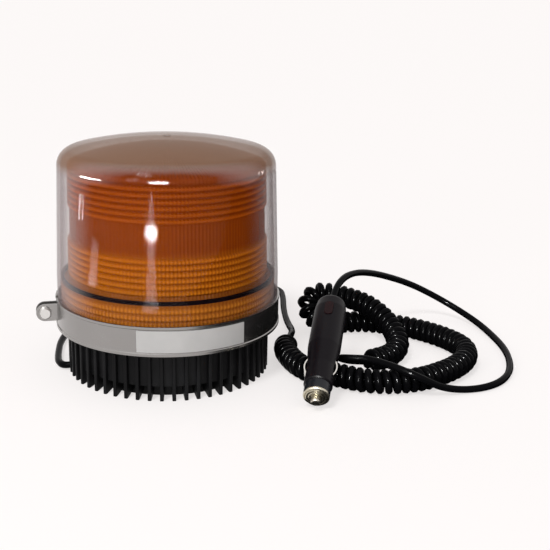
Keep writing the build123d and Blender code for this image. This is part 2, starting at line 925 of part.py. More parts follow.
def contact_section():
    """The bowed strip of a side contact: across the plug, then along its axis."""
    lift = contact_foot + contact_strip
    ends = (contact_start, contact_start + contact_length)
    with BuildSketch() as section:
        with BuildLine():
            Polyline(
                (lift, ends[0]),
                (lift, ends[0] - contact_hook),
                (contact_foot, ends[0] - contact_hook),
                (contact_foot, ends[0]),
            )
            ThreePointArc(
                (contact_foot, ends[0]),
                (contact_crown - contact_strip, contact_middle),
                (contact_foot, ends[1]),
            )
            Polyline(
                (contact_foot, ends[1]),
                (contact_foot, ends[1] + contact_hook),
                (lift, ends[1] + contact_hook),
                (lift, ends[1]),
            )
            ThreePointArc((lift, ends[1]), (contact_crown, contact_middle), (lift, ends[0]))
        make_face()
    return section.sketch


with BuildPart() as side_contact_left:
    with BuildSketch(Plane(origin=plug_nose, x_dir=plug_left, z_dir=plug_left.cross(plug_out))):
        add(contact_section())
    extrude(amount=contact_width / 2, both=True)

with BuildPart() as side_contact_right:
    mirror(side_contact_left.part, about=plug_half)

with BuildPart() as plug_indicator:
    with BuildSketch(indicator_plane):
        SlotOverall(indicator_length, indicator_width)
    extrude(amount=indicator_depth)

with BuildPart() as plug_sleeve:
    with BuildSketch(plug_half):
        with BuildLine():
            Polyline(
                (lead_diameter / 2 + bore_gap, cavity_end),
                (sleeve_radius, cavity_end),
                (sleeve_radius, plug_length),
                (sleeve_radius - sleeve_taper, plug_length + sleeve_reach),
                (lead_diameter / 2 + bore_gap, plug_length + sleeve_reach),
                close=True,
            )
        make_face()
    revolve(axis=plug_axis)

sub_parts = {
    "finned_boot": finned_boot,
    "holding_magnet": holding_magnet,
    "magnet_plate": magnet_plate,
    "base_housing": base_housing,
    "base_screws": base_screws,
    "flange_gasket": flange_gasket,
    "cord_grommet": cord_grommet,
    "board_standoffs": board_standoffs,
    "circuit_board": circuit_board,
    "transformer": transformer,
    "flash_capacitor": flash_capacitor,
    "trigger_coil": trigger_coil,
    "deck_plate": deck_plate,
    "tube_holder": tube_holder,
    "flash_tube": flash_tube,
    "amber_lens": amber_lens,
    "lens_ring": lens_ring,
    "clear_dome": clear_dome,
    "clamp_band": clamp_band,
    "clamp_screw": clamp_screw,
    "clamp_nut": clamp_nut,
    "lamp_lead": lamp_lead,
    "coiled_cord": coiled_cord,
    "plug_lead": plug_lead,
    "plug_shell_left": plug_shell_left,
    "plug_shell_right": plug_shell_right,
    "plug_screw": plug_screw,
    "plug_ring_cap": plug_ring_cap,
    "plug_tip_pin": plug_tip_pin,
    "plug_fuse": plug_fuse,
    "fuse_spring": fuse_spring,
    "side_contact_left": side_contact_left,
    "side_contact_right": side_contact_right,
    "plug_indicator": plug_indicator,
    "plug_sleeve": plug_sleeve,
}

os.makedirs("parts", exist_ok=True)
for name, sub_part in sub_parts.items():
    sub_part.part.label = name
    export_step(sub_part.part, f"parts/{name}.step")

for name, route, line, diameter in (
    ("lamp lead", lamp_lead_route, lamp_lead_line, lead_diameter),
    ("coil", coil_route, coil_line, coil_diameter),
    ("plug lead", plug_lead_route, plug_lead_line, lead_diameter),
):
    length = sum(edge.length for edge in line.edges())
    print(f"{name}: {length:.0f} mm, tube volume {length * math.pi * diameter**2 / 4:.0f} mm3")
    print("  radii", [round(radius, 1) for radius in corner_radii(route)])
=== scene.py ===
"""Magnetic strobe beacon: finishes, cord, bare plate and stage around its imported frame.

Laid out as an add-on with one operator for each group of pieces. Run as a script, it builds the
whole beacon round the frame and leaves it ready to render.
"""

import math

import bmesh
import bpy
from mathutils import Matrix, Vector


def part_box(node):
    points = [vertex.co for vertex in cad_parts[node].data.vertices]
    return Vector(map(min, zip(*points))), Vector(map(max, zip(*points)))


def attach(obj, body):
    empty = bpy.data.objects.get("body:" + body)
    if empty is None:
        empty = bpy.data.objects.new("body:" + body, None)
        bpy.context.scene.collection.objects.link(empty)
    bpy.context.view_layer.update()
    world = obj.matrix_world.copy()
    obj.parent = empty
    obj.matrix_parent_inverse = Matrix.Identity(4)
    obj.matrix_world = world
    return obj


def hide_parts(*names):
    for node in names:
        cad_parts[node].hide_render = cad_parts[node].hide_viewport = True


bl_info = {
    "name": "Strobe Beacon",
    "version": (1, 0, 0),
    "blender": (4, 5, 0),
    "location": "3D View > Sidebar > Beacon",
    "description": "Finishes a magnetic strobe beacon with its curly cord and lighter plug",
    "category": "Object",
}

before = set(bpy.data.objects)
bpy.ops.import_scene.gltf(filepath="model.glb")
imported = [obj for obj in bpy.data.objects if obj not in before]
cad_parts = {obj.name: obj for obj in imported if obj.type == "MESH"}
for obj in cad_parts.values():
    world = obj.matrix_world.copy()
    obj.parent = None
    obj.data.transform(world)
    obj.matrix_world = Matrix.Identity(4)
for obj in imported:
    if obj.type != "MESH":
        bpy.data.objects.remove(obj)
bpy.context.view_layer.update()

MM = 0.001

# Heights of the lamp's pieces above the surface it stands on
LENS_FOOT, LENS_TOP = (corner[2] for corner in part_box("amber_lens"))
BAND_FOOT, BAND_TOP = (corner[2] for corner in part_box("clamp_band"))
DOME_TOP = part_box("clear_dome")[1][2]

# The plug's nose and the direction from it to the tail
PLUG_NOSE = Vector((0.0894, -0.0870, 0.0086))
PLUG_AXIS = Vector((0.0206, 0.0750, 0.0364)).normalized()
BARE_NOSE = 2.0 * MM  # length of the ring cap that is bare metal
RING_PITCH = 1.9 * MM  # distance of the turned rings on its face

# The cord's widths, and the heights of its middle where it lies on the floor
LEAD_WIDTH = 4.6 * MM
COIL_WIDTH = 16.0 * MM
LEAD_LOW = 2.46 * MM
COIL_LOW = 8.2 * MM

# Corners of the cord's route, in metres, from the lamp to the plug
LAMP_LEAD_ROUTE = [
    (-0.050852, -0.008145, 0.0044),
    (-0.0606, -0.0102, 0.0042),
    (-0.0700, -0.0112, 0.0031),
    (-0.0745, -0.0040, 0.0026),
    (-0.0762, 0.0070, LEAD_LOW),
    (-0.0770, 0.0200, LEAD_LOW),
    (-0.0774, 0.0350, LEAD_LOW),
    (-0.0752, 0.0540, LEAD_LOW),
    (-0.0670, 0.0760, LEAD_LOW),
    (-0.0530, 0.0990, LEAD_LOW),
    (-0.0330, 0.1190, LEAD_LOW),
    (-0.0090, 0.1350, LEAD_LOW),
    (0.0180, 0.1495, LEAD_LOW),
    (0.0450, 0.1600, LEAD_LOW),
    (0.0690, 0.1665, LEAD_LOW),
    (0.0865, 0.1645, LEAD_LOW),
    (0.0946, 0.1510, LEAD_LOW),
    (0.0938, 0.1310, LEAD_LOW),
    (0.0914, 0.1080, LEAD_LOW),
    (0.0902, 0.0840, LEAD_LOW),
    (0.0906, 0.0640, 0.0026),
    (0.0912, 0.0485, 0.0044),
    (0.0887, 0.0320, 0.0076),
]
COIL_ROUTE = [
    (0.0849, 0.0184, COIL_LOW),
    (0.0797, 0.0030, COIL_LOW),
    (0.0809, -0.0134, COIL_LOW),
    (0.0845, -0.0275, COIL_LOW),
    (0.0905, -0.0410, COIL_LOW),
    (0.1015, -0.0450, COIL_LOW),
    (0.1125, -0.0526, COIL_LOW),
    (0.1255, -0.0610, COIL_LOW),
    (0.1410, -0.0640, COIL_LOW),
    (0.1575, -0.0618, COIL_LOW),
    (0.1735, -0.0542, COIL_LOW),
    (0.1927, -0.0392, COIL_LOW),
    (0.2041, -0.0223, COIL_LOW),
    (0.2071, -0.0039, COIL_LOW),
    (0.2006, 0.0130, COIL_LOW),
    (0.1897, 0.0284, COIL_LOW),
    (0.1763, 0.0408, COIL_LOW),
    (0.1599, 0.0497, COIL_LOW),
    (0.1430, 0.0547, COIL_LOW),
    (0.1300, 0.0524, COIL_LOW),
    (0.1170, 0.0504, 0.0088),
    (0.1072, 0.0524, 0.0116),
    (0.1024, 0.0586, 0.0204),
    (0.1092, 0.0642, 0.0282),
    (0.1214, 0.0616, 0.0286),
    (0.1340, 0.0542, 0.0272),
    (0.1446, 0.0446, 0.0256),
    (0.1526, 0.0342, 0.0220),
    (0.1582, 0.0232, 0.0174),
    (0.1610, 0.0120, 0.0132),
    (0.1608, 0.0008, 0.0102),
    (0.1568, -0.0098, 0.0086),
    (0.1490, -0.0188, COIL_LOW),
    (0.1381, -0.0260, 0.0084),
    (0.1292, -0.0302, 0.0096),
]
PLUG_LEAD_ROUTE = [
    (0.1186, -0.0350, 0.0122),
    (0.1118, -0.0394, 0.0156),
    (0.1122, -0.0456, 0.0184),
    (0.1188, -0.0488, 0.0192),
    (0.1270, -0.0510, 0.0196),
    (0.1356, -0.0578, 0.0196),
    (0.1438, -0.0664, 0.0192),
    (0.1524, -0.0728, 0.0172),
    (0.1624, -0.0734, 0.0126),
    (0.1740, -0.0696, 0.0060),
    (0.1884, -0.0658, LEAD_LOW),
    (0.2034, -0.0634, LEAD_LOW),
    (0.2179, -0.0544, LEAD_LOW),
    (0.2294, -0.0382, LEAD_LOW),
    (0.2370, -0.0161, LEAD_LOW),
    (0.2408, 0.0080, LEAD_LOW),
    (0.2406, 0.0332, LEAD_LOW),
    (0.2368, 0.0584, 0.0040),
    (0.2255, 0.0775, 0.0090),
    (0.2080, 0.0855, 0.0180),
    (0.1880, 0.0805, 0.0290),
    (0.1680, 0.0685, 0.0386),
    (0.1500, 0.0525, 0.0470),
    (0.1345, 0.0340, 0.0530),
    (0.1220, 0.0160, 0.0546),
    (0.112879, -0.001520, 0.050087),
    (0.108657, -0.016891, 0.042626),
]

# How the jacket is drawn and wound
SWELL = 1.06  # how much fuller the jacket is drawn, and its wound part once more
TURN_POINTS = 8  # control points in one turn of the coil
TURN_PITCH = 5.5 * MM
WIDEST_PITCH = 6.4 * MM
INNER_PITCH = 4.9 * MM  # distance of two turns on the inside of a bend
RUN_IN = 10.0 * MM  # length of the coil over which it grows from the lead
BEND_REACH = 10  # points of the coil's line on each side that give its bend
ROUTE_STEPS = 24  # points of the coil's line for each corner of its route
CORD_STEPS = 6  # points of the drawn cord for each of its control points

# The lens's bands of ribs: height above its foot, pitch and number; and its upright flutes
RIB_BANDS = [(2.00 * MM, 4.400 * MM, 4), (25.20 * MM, 4.000 * MM, 6), (70.20 * MM, 3.933 * MM, 6)]
FLUTES = 170

# What the amber's red, green and blue are multiplied by, from the lens's foot to its top. The lighter,
# yellower bands near the foot are painted light, for the lit white deck inside showing through.
AMBER_DEPTH = [
    (0.0, (1.05, 1.5, 5.0, 1)),
    (0.2, (1.15, 1.6, 3.5, 1)),
    (0.24, (1.2, 1.5, 1.6, 1)),
    (0.44, (1.15, 1.3, 1.2, 1)),
    (0.48, (0.84, 0.68, 0.5, 1)),
    (0.66, (0.9, 0.72, 0.5, 1)),
    (0.9, (0.84, 0.62, 0.5, 1)),
    (0.94, (0.72, 0.75, 1.5, 1)),
]

# Depths under the dome's top where its crown's tint starts and where it is full
CROWN_START = 21.0 * MM
CROWN_FULL = 13.0 * MM

# The bare plate on the clamp band: its radii, where it starts, its rounded edge and its facets
PLATE_INNER = 74.38 * MM
PLATE_OUTER = 74.75 * MM
PLATE_START = math.radians(254.5)
PLATE_ROUND = 0.12 * MM
PLATE_STEPS = 48

# The camera: sensor and lens in mm, place, and its turn to the right, tilt down and roll
CAMERA_SENSOR = 36.0
CAMERA_LENS = 65.4545
CAMERA_PLACE = (0.0, -0.64865, 0.25602)
CAMERA_TURNS = [math.radians(angle) for angle in (6.340, 16.577, 1.238)]

# The floor and the world
PAPER = (0.985, 0.953, 0.945, 1)
PAPER_GLOW = 0.66  # share of the floor's brightness that no shadow takes away
FLOOR_HALF = 30.0
DAYLIGHT = (1.0, 0.99, 0.98, 1)
DAYLIGHT_POWER = 0.62

# The black card that only reflections show: colour, half its sides, and its middle
CARD_BLACK = (0.01, 0.01, 0.01, 1)
CARD_HALVES = (0.41, 0.525, 1.0)
CARD_PLACE = (0.49, 0.175, 0.0008)

# The main lamp, far away like the sun
KEY_AIM = (0.35, 0.55, -0.8)
KEY_POWER = 1.45
KEY_WIDTH = math.radians(14.0)

# The soft side lamp: its place, the point it is aimed at, its width and height, and its watts
LEFT_WINDOW = (-0.55, -0.75, 0.42), (0, 0, 0.1), (0.18, 0.4), 2.0

# Lamps that only show as highlights: the same, and the piece that shows them, or None for all
GLINT_LAMPS = {
    "flash": ((-0.09, -0.70, 0.21), (0.1, 0, 0.05), (0.12, 0.06), 7.0, None),
    "spark": ((0.0, -0.66, 0.36), (0.15, 0, 0.02), (0.03, 0.03), 40.0, "curly_cord"),
    "rear_window": ((-1.0, -0.14, 0.07), (0, 0, 0.12), (0.5, 0.09), 22.0, "clear_dome"),
    "front_lamp": ((-0.11, -0.70, 0.19), (0, 0, 0.12), (0.24, 0.075), 22.0, "clear_dome"),
    "low_lamp": ((-0.178, -0.62, 0.006), (0, 0, 0.093), (0.13, 0.014), 1.8, "clear_dome"),
    "low_strip": ((-0.42, -0.115, 0.004), (-0.41, -0.112, 1.0), (0.05, 0.20), 0.6, "clear_dome"),
    "front_strip": ((-0.166, -0.577, 0.004), (-0.163, -0.567, 1.0), (0.06, 0.70), 2.2, "clear_dome"),
    "side_strip": ((-0.70, 0.068, 0.004), (-0.69, 0.067, 1.0), (0.012, 0.18), 0.3, "clear_dome"),
    "right_window": ((0.90, 0.35, 0.12), (0, 0, 0.12), (0.05, 0.16), 0.4, "clear_dome"),
}


# ---------------------------------------------------------------- shader tools


class Term:
    """One value in a finish. Arithmetic on it adds Math nodes."""

    def __init__(self, finish, socket):
        self.finish = finish
        self.socket = socket

    def maths(self, operation, first, second=0.0):
        node = self.finish.node("ShaderNodeMath", {"operation": operation}, {0: first, 1: second})
        return Term(self.finish, node.outputs[0])

    def __add__(self, other):
        return self.maths("ADD", self, other)

    def __sub__(self, other):
        return self.maths("SUBTRACT", self, other)

    def __rsub__(self, other):
        return self.maths("SUBTRACT", other, self)

    def __mul__(self, other):
        return self.maths("MULTIPLY", self, other)

    def __truediv__(self, other):
        return self.maths("DIVIDE", self, other)

    def __pow__(self, other):
        return self.maths("POWER", self, other)

    __radd__ = __add__
    __rmul__ = __mul__

    def sine(self):
        return self.maths("SINE", self)

    def above(self, other):
        return self.maths("GREATER_THAN", self, other)

    def below(self, other):
        return self.maths("LESS_THAN", self, other)

    def turn(self, other):
        return self.maths("ARCTAN2", self, other)


class Finish:
    """A procedural material: one Principled surface and the nodes that feed it."""

    def __init__(self, name, **constants):
        self.material = bpy.data.materials.new(name)
        self.material.use_nodes = True
        self.tree = self.material.node_tree
        self.tree.nodes.clear()
        titles = [key.replace("_", " ").title().replace("Ior", "IOR") for key in constants]
        sockets = dict(zip(titles, constants.values()))
        self.surface = self.node("ShaderNodeBsdfPrincipled", None, sockets)
        self.output = self.node("ShaderNodeOutputMaterial", None, {"Surface": self.surface.outputs[0]})
        self.place = self.node("ShaderNodeTexCoord").outputs["Object"]

    def node(self, kind, settings=None, sockets=None):
        """Adds one node, with its settings made first and then its sockets filled or linked."""
        node = self.tree.nodes.new(kind)
        for key, value in (settings or {}).items():
            if key == "stops":
                ramp = node.color_ramp.elements
                while len(ramp) < len(value):
                    ramp.new(0.5)
                for stop, (position, colour) in zip(ramp, value):
                    stop.position = position
                    stop.color = colour
            else:
                setattr(node, key, value)
        for key, value in (sockets or {}).items():
            self.feed(node.inputs[key], value)
        return node

    def feed(self, socket, value):
        """Links a term or a socket to another socket, or sets a plain value on it."""
        if isinstance(value, Term):
            value = value.socket
        if isinstance(value, bpy.types.NodeSocket):
            self.tree.links.new(value, socket)
        else:
            socket.default_value = value

    def set(self, name, value):
        """Feeds one socket of the surface."""
        self.feed(self.surface.inputs[name], value)

    def axes(self):
        """The object's own X, Y and Z in metres."""
        split = self.node("ShaderNodeSeparateXYZ", None, {0: self.place})
        return [Term(self, socket) for socket in split.outputs]

    def stretched(self, scale):
        """Object coordinates stretched by a scale for each axis."""
        return self.node("ShaderNodeMapping", None, {"Vector": self.place, "Scale": scale}).outputs[0]

    def noise(self, scale, detail=3.0, roughness=0.55, place=None):
        """Soft random values from 0 to 1 over the piece."""
        sockets = {
            "Vector": place or self.place,
            "Scale": scale,
            "Detail": detail,
            "Roughness": roughness,
        }
        return Term(self, self.node("ShaderNodeTexNoise", None, sockets).outputs["Fac"])

    def blend(self, share, first, second):
        """A colour between two others, by a share of the second."""
        settings = {"data_type": "RGBA"}
        return self.node("ShaderNodeMix", settings, {0: share, 6: first, 7: second}).outputs[2]

    def span(self, value, low, high, start=0.0, end=1.0):
        """A value's own range brought to another, and kept inside it."""
        sockets = {0: value, 1: low, 2: high, 3: start, 4: end}
        return Term(self, self.node("ShaderNodeMapRange", {"clamp": True}, sockets).outputs[0])

    def vector(self, operation, first, second=(0.0, 0.0, 0.0)):
        """A Vector Math node on one or two vectors."""
        return self.node("ShaderNodeVectorMath", {"operation": operation}, {0: first, 1: second})

    def bump(self, height, distance, strength=1.0):
        """Raises the surface by a height from 0 to 1, over a distance in metres."""
        sockets = {"Height": height, "Distance": distance, "Strength": strength}
        self.set("Normal", self.node("ShaderNodeBump", None, sockets).outputs[0])

    def mixed(self, share, first, second):
        """Shows the second shader over the first by a share."""
        mix = self.node("ShaderNodeMixShader", None, {0: share, 1: first, 2: second})
        self.feed(self.output.inputs["Surface"], mix.outputs[0])

    def thinned(self, share, tint):
        """Lets light of a tint through, with the surface shown over it by a share."""
        clear = self.node("ShaderNodeBsdfTransparent", None, {"Color": tint})
        self.mixed(share, clear.outputs[0], self.surface.outputs[0])


def shaded(colour, factor=1.0):
    """A colour made darker or lighter by a factor, with its alpha."""
    return (*(channel * factor for channel in colour[:3]), 1.0)


def dress(node, finish):
    """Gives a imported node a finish."""
    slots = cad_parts[node].data.materials
    slots.clear()
    slots.append(finish.material)


def moulded(name, colour, rough, grain=900.0, depth=0.00002, **constants):
    """Moulded plastic or rubber: slightly uneven in colour, sheen and surface."""
    finish = Finish(name, **constants)
    clouds = finish.noise(38.0, 4.0)
    pores = finish.noise(grain, 2.0)
    finish.set("Base Color", finish.blend(clouds, shaded(colour, 0.8), shaded(colour, 1.25)))
    finish.set("Roughness", rough + (clouds - 0.5) * 0.12 + (pores - 0.5) * 0.08)
    finish.bump(pores, depth)
    return finish


def plated(name, colour, rough, scale=700.0):
    """Bare or plated metal with fine polish marks."""
    finish = Finish(name, metallic=1.0)
    lines = finish.noise(scale, 3.0, 0.6)
    clouds = finish.noise(30.0, 3.0)
    finish.set("Base Color", finish.blend(clouds, shaded(colour, 0.9), shaded(colour, 1.05)))
    finish.set("Roughness", rough + (lines - 0.5) * 0.16 + (clouds - 0.5) * 0.06)
    finish.bump(lines, 0.000015)
    return finish


# ---------------------------------------------------------------- mesh tools


def new_object(name, mesh, finish):
    """Turns a bmesh into an object in the scene, with a finish."""
    data = bpy.data.meshes.new(name)
    mesh.to_mesh(data)
    mesh.free()
    data.materials.append(finish.material)
    made = bpy.data.objects.new(name, data)
    bpy.context.scene.collection.objects.link(made)
    return made


def soften(piece, width, segments=2):
    """A small round on a piece's sharp edges."""
    bevel = piece.modifiers.new("Round", "BEVEL")
    bevel.width = width
    bevel.segments = segments
    bevel.limit_method = "ANGLE"
    bevel.harden_normals = True


def spun_sector(points, start, angle, steps):
    """A closed outline turned about the lamp's axis into a solid sector, as a bmesh."""
    mesh = bmesh.new()
    centre, axis = (0, 0, 0), (0, 0, 1)
    face = mesh.faces.new([mesh.verts.new(point) for point in points])
    geometry = [face, *face.edges, *face.verts]
    bmesh.ops.rotate(mesh, verts=face.verts, cent=centre, matrix=Matrix.Rotation(start, 3, "Z"))
    bmesh.ops.spin(mesh, geom=geometry, cent=centre, axis=axis, angle=angle, steps=steps)
    bmesh.ops.recalc_face_normals(mesh, faces=mesh.faces)
    return mesh


# ---------------------------------------------------------------- cord


def route_curve(name, points, resolution, width=0.0):
    """A smooth open curve whose control points are a route's corners."""
    curve = bpy.data.curves.new(name, "CURVE")
    curve.dimensions = "3D"
    curve.resolution_u = resolution
    curve.render_resolution_u = resolution
    curve.twist_mode = "MINIMUM"
    curve.bevel_depth = width / 2 * SWELL
    curve.bevel_resolution = 2
    curve.use_fill_caps = width > 0
    spline = curve.splines.new("NURBS")
    spline.points.add(len(points) - 1)
    for control, point in zip(spline.points, points):
        control.co = (*point, 1.0)
    spline.order_u = 3
    spline.use_endpoint_u = True
    spline.use_smooth = True
    return bpy.data.objects.new(name, curve)


def centreline(points, resolution):
    """Points along the smooth curve of a route."""
    bare = route_curve("route", points, resolution)
    mesh = bpy.data.meshes.new_from_object(bare)
    line = [vertex.co.copy() for vertex in mesh.vertices]
    bpy.data.meshes.remove(mesh)
    bpy.data.objects.remove(bare)
    return line


def line_length(line):
    """The length of a line of points."""
    return sum((after - before).length for before, after in zip(line, line[1:]))


def bend_at(line, index):
    """How sharply a line bends at one of its points, as one over the bend's radius."""
    last = len(line) - 1
    before, after = line[max(index - BEND_REACH, 0)], line[min(index + BEND_REACH, last)]
    first, second = line[index] - before, after - line[index]
    return first.angle(second, 0.0) * 2 / (first.length + second.length)


def curl(line):
    """Control points of a helix wound on a line, which it leaves from and comes back to.

    The smooth curve passes inside its control points, by a share that the cosine gives, so they
    stand further out than the middle of the jacket.
    """
    core = (COIL_WIDTH - LEAD_WIDTH * SWELL) / 2
    control = core / (0.75 + 0.25 * math.cos(2 * math.pi / TURN_POINTS))
    total = line_length(line)
    across = (line[1] - line[0]).orthogonal().normalized()
    points = []
    travelled = turned = 0.0
    due = 1.0
    for index, (before, here) in enumerate(zip(line, line[1:]), start=1):
        step = here - before
        direction = step.normalized()
        across = (across - direction * across.dot(direction)).normalized()
        squeeze = 1.0 - min(core * bend_at(line, index), 0.5)
        pitch = min(max(TURN_PITCH, INNER_PITCH / squeeze), WIDEST_PITCH)
        lift = min(1.0, travelled / RUN_IN, (total - travelled) / RUN_IN)
        grown = step.length / (pitch * (2.0 - lift)) * TURN_POINTS
        while turned + grown >= due:
            part = (due - turned) / grown
            middle = before + step * part
            angle = 2 * math.pi * due / TURN_POINTS
            arm = control * (1.0 - math.cos(lift * math.pi)) / 2
            side = direction.cross(across)
            points.append(middle + (across * math.cos(angle) + side * math.sin(angle)) * arm)
            due += 1.0
        turned += grown
        travelled += step.length
    return points


class BEACON_PG_cord(bpy.types.PropertyGroup):
    """Sizes and colour of the cord."""

    jacket: bpy.props.FloatVectorProperty(
        name="Jacket",
        description="Colour of the cord's jacket",
        subtype="COLOR",
        size=3,
        default=(0.0030, 0.0030, 0.0035),
    )
    width: bpy.props.FloatProperty(
        name="Width",
        description="Outside diameter of the jacket",
        unit="LENGTH",
        default=LEAD_WIDTH,
    )


class BEACON_OT_cord(bpy.types.Operator):
    """Lays the lamp lead, the curly cord and the plug lead as one cord"""

    bl_idname = "beacon.cord"
    bl_label = "Cord"

    def execute(self, context):
        sizes = context.scene.beacon_cord
        helix = curl(centreline(COIL_ROUTE, ROUTE_STEPS))[1:-1]
        points = [*LAMP_LEAD_ROUTE, COIL_ROUTE[0], *helix, COIL_ROUTE[-1], *PLUG_LEAD_ROUTE]
        piece = route_curve("curly_cord", points, CORD_STEPS, sizes.width)
        start = len(LAMP_LEAD_ROUTE) + 1
        for control in piece.data.splines[0].points[start : start + len(helix)]:
            control.radius = SWELL
        context.scene.collection.objects.link(piece)
        length = line_length(centreline(points, CORD_STEPS))
        finish = moulded("cord_jacket", sizes.jacket, 0.17, 700.0, 0.000004, specular_ior_level=0.02)
        piece.data.materials.append(finish.material)
        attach(piece, "root")
        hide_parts("lamp_lead", "coiled_cord", "plug_lead")
        return {"FINISHED"}


# ---------------------------------------------------------------- lamp


class BEACON_PG_lamp(bpy.types.PropertyGroup):
    """Colours of the lamp's plastics and metal, and the size of its plate."""

    amber: bpy.props.FloatVectorProperty(
        name="Amber",
        description="Colour of the ribbed lens",
        subtype="COLOR",
        size=3,
        default=(0.33, 0.062, 0.0030),
    )
    steel: bpy.props.FloatVectorProperty(
        name="Steel",
        description="Colour of the clamp band",
        subtype="COLOR",
        size=3,
        default=(0.320, 0.311, 0.303),
    )
    rubber: bpy.props.FloatVectorProperty(
        name="Rubber",
        description="Colour of the finned boot",
        subtype="COLOR",
        size=3,
        default=(0.0042, 0.0042, 0.0046),
    )
    foil: bpy.props.FloatVectorProperty(
        name="Foil",
        description="Colour of the bare plate on the clamp band",
        subtype="COLOR",
        size=3,
        default=(0.380, 0.375, 0.370),
    )
    plate_arc: bpy.props.FloatProperty(
        name="Plate arc",
        description="How far round the band the plate reaches",
        subtype="ANGLE",
        default=math.radians(54.3),
    )
    plate_border: bpy.props.FloatProperty(
        name="Plate border",
        description="Bare band above and below the plate",
        unit="LENGTH",
        default=2.6 * MM,
    )


class BEACON_OT_lens(bpy.types.Operator):
    """Finishes the ribbed amber lens and the dark ring at its waist"""

    bl_idname = "beacon.lens"
    bl_label = "Amber lens"

    def execute(self, context):
        amber = context.scene.beacon_lamp.amber
        finish = Finish("amber_plastic", roughness=0.2, ior=1.49, specular_ior_level=0.04)
        x, y, z = finish.axes()
        flutes = (y.turn(x) * FLUTES).sine() * 0.5 + 0.5
        height = finish.span(z, LENS_FOOT, LENS_TOP)
        clouds = finish.noise(22.0, 3.0)
        # The ribs and flutes are painted as stripes: a painted highlight on each crest and painted
        # shade in each groove, between a lit and a shaded copy of the amber. The clouds add uneven
        # tone.
        ribs = 0.0
        for foot, pitch, count in RIB_BANDS:
            step = (z - (LENS_FOOT + foot)) / pitch
            wave = (step * (2 * math.pi) - math.pi / 2).sine() * 0.5 + 0.5
            ribs = wave * step.above(0.0) * step.below(float(count)) + ribs
        # Colour by height, whose lighter bands near the foot are painted light
        depth = finish.node("ShaderNodeValToRGB", {"stops": AMBER_DEPTH}, {0: height}).outputs[0]
        share = ribs * (flutes * 0.5 + 0.35) + flutes * 0.22 + clouds * 0.2
        bright = (amber[0] * 1.7, amber[1] * 2.2, amber[2] * 1.8, 1.0)
        rib_light_and_mottle = finish.blend(finish.span(share, 0.0, 1.2), shaded(amber, 0.66), bright)
        finish.set("Base Color", finish.vector("MULTIPLY", rib_light_and_mottle, depth).outputs[0])
        finish.bump(flutes, 0.0004)
        finish.thinned(0.9, (0.80, 0.28, 0.02, 1))
        dress("amber_lens", finish)
        dress("lens_ring", moulded("ring_rubber", (0.005, 0.002, 0.003), 0.6, specular_ior_level=0.02))
        return {"FINISHED"}


class BEACON_OT_dome(bpy.types.Operator):
    """Finishes the clear outer dome"""

    bl_idname = "beacon.dome"
    bl_label = "Clear dome"

    def execute(self, context):
        finish = Finish("clear_plastic", roughness=0.05, ior=1.15, specular_ior_level=0.15)
        waves = finish.noise(26.0, 2.0)
        finish.bump(waves, 0.0002, 0.25)
        height = finish.axes()[2]
        weight = finish.node("ShaderNodeLayerWeight", None, {"Blend": 0.5})
        facing = Term(finish, weight.outputs["Facing"])
        # The wall is painted grey towards its rim, where it is seen edge-on: a painted reflection for
        # what the wall's edge shows of its surroundings
        rim = finish.span(facing, 0.28, 0.8)
        # The crown is tinted from an uneven line upwards, and more where it is seen at a slant
        grazed = finish.span(facing, 0.10, 0.55)
        uneven = height + waves * (3.0 * MM)
        crown = finish.span(uneven, DOME_TOP - CROWN_START, DOME_TOP - CROWN_FULL) * grazed
        wall_with_painted_rim = finish.blend(rim, (0.80, 0.77, 0.77, 1), (0.25, 0.20, 0.205, 1))
        finish.set("Base Color", finish.blend(crown, wall_with_painted_rim, (0.225, 0.128, 0.082, 1)))
        finish.set("Metallic", (1.0 - rim) * (1.0 - crown))
        veil = crown * finish.span(facing, 0.6, 0.92, 0.34, 0.62)
        share = finish.span((rim**1.6) * 0.50 + veil + 0.004, 0.0, 0.66, 0.0, 0.66)
        finish.thinned(share, (0.985, 0.98, 0.98, 1))
        dress("clear_dome", finish)
        return {"FINISHED"}


class BEACON_OT_clamp(bpy.types.Operator):
    """Finishes the clamp band and its screw, and adds the bare plate on the band"""

    bl_idname = "beacon.clamp"
    bl_label = "Clamp band"

    def execute(self, context):
        lamp = context.scene.beacon_lamp
        steel = lamp.steel
        band = Finish("band_steel", metallic=1.0, anisotropic=0.4)
        x, y, z = band.axes()
        swept = band.node("ShaderNodeCombineXYZ", None, {0: y.turn(x) * 0.02, 1: z}).outputs[0]
        lines = band.noise(2600.0, 3.0, 0.6, swept)
        clouds = band.noise(26.0, 3.0)
        band.set("Base Color", band.blend(clouds, shaded(steel, 0.88), shaded(steel, 1.06)))
        band.set("Roughness", 0.24 + (lines - 0.5) * 0.14 + (clouds - 0.5) * 0.08)
        band.bump(lines, 0.00001)
        dress("clamp_band", band)
        bright = plated("screw_steel", (0.34, 0.33, 0.32), 0.5)
        for node in ("clamp_screw", "clamp_nut", "base_screws", "board_standoffs", "plug_screw"):
            dress(node, bright)

        low, high = BAND_FOOT + lamp.plate_border, BAND_TOP - lamp.plate_border
        inner, outer = PLATE_INNER, PLATE_OUTER
        section = [(inner, 0, low), (outer, 0, low), (outer, 0, high), (inner, 0, high)]
        mesh = spun_sector(section, PLATE_START, lamp.plate_arc, PLATE_STEPS)
        foil = moulded("plate_foil", lamp.foil, 0.45, 1500.0, 0.00001)
        plate = new_object("bare_plate", mesh, foil)
        plate.data.shade_smooth()
        soften(plate, PLATE_ROUND)
        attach(plate, "root")
        return {"FINISHED"}


